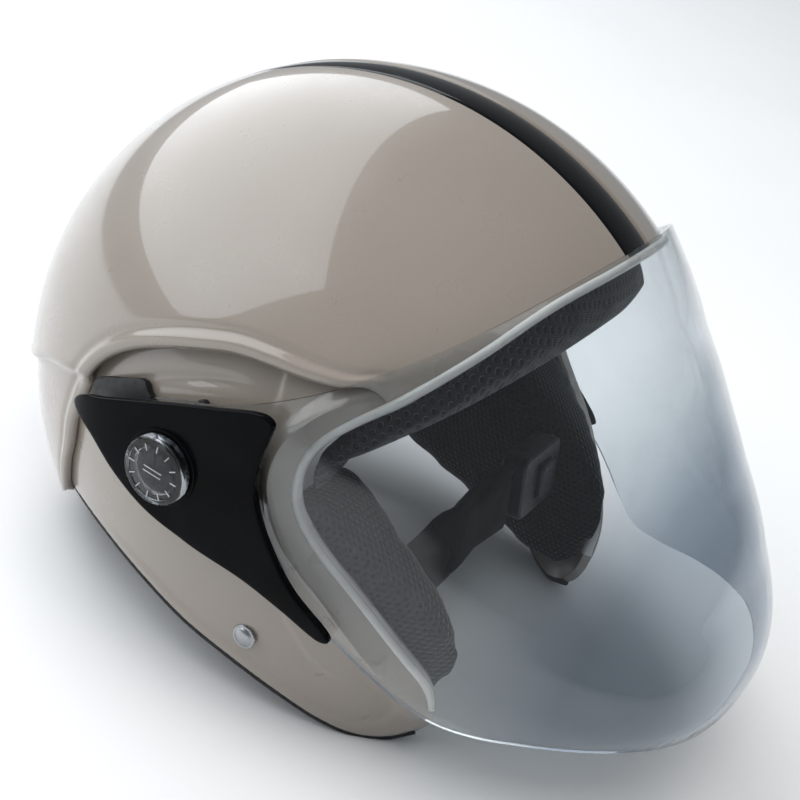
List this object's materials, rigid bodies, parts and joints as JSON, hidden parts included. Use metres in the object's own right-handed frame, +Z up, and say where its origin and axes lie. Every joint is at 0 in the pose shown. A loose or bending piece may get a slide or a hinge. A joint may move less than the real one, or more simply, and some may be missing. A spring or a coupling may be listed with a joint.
{
  "type": "open face motorcycle helmet",
  "caption": "Open face motorcycle helmet with a smooth dome, recessed side panels, a black centre strip, a clear lift-up visor on side pivots, padded lining and a buckled chin strap.",
  "frame": {"origin": "middle of the bounding box in X and Y, on the table plane the helmet stands on", "axes": "+Z is up as the helmet stands on a table, -Y is the way the face opening looks, -X is the wearer's right and +X the wearer's left"},
  "size_m": [0.2484, 0.3216, 0.2108],
  "materials": {
    "shell_paint": "glossy clear-coated stone grey paint over moulded shell",
    "black_gloss": "gloss black moulded plastic",
    "silver_beading": "satin silver edge beading",
    "edge_rubber": "matt black rubber edging",
    "liner_foam": "dark expanded polystyrene foam",
    "lining_cloth": "black brushed knit",
    "air_mesh_cloth": "black spacer mesh cloth",
    "cheek_cloth": "blue-grey woven mesh cloth",
    "visor_clear": "clear moulded polycarbonate with a slight smoke tint",
    "base_plastic": "black glass-filled nylon",
    "cap_clear": "clear moulded cap",
    "steel": "zinc plated steel",
    "webbing": "black woven polyester webbing",
    "buckle_plastic": "black moulded plastic with fine grain"
  },
  "bodies": {
    "helmet_body": {"outer_shell": "shell_paint", "centre_strip": "black_gloss", "face_opening_trim": "silver_beading", "neck_edge_trim": "edge_rubber", "eps_liner": "liner_foam", "crown_lining": "lining_cloth", "brow_pad": "air_mesh_cloth", "neck_roll": "lining_cloth", "cheek_pad_right": "cheek_cloth", "side_plate_right": "black_gloss", "pivot_base_right": "base_plastic", "pivot_bush_right": "base_plastic", "pivot_screw_right": "steel", "pivot_nut_right": "steel", "hub_cap_right": "cap_clear", "strap_rivet_right": "steel", "rivet_washer_right": "steel", "chin_strap_right": "webbing", "cheek_pad_left": "cheek_cloth", "side_plate_left": "black_gloss", "pivot_base_left": "base_plastic", "pivot_bush_left": "base_plastic", "pivot_screw_left": "steel", "pivot_nut_left": "steel", "hub_cap_left": "cap_clear", "strap_rivet_left": "steel", "rivet_washer_left": "steel", "chin_strap_left": "webbing", "buckle_housing": "buckle_plastic", "buckle_tongue": "steel", "strap_sleeve": "lining_cloth"},
    "visor_body": {"visor": "visor_clear"},
    "button_body": {"buckle_button": "buckle_plastic"}
  },
  "joints": [
    {"name": "visor_swing", "type": "hinge", "parent": "helmet_body", "child": "visor_body", "pos_m": [0, 0.03065, 0.08971], "axis": [-1, 0, 0], "range_deg": [0, 55]},
    {"name": "buckle_button_press", "type": "slide", "parent": "helmet_body", "child": "button_body", "axis": [0, 0.9793, -0.2026], "range_m": [0, 0.002], "stiffness_N_per_m": 600, "springref_m": -0.002}
  ]
}
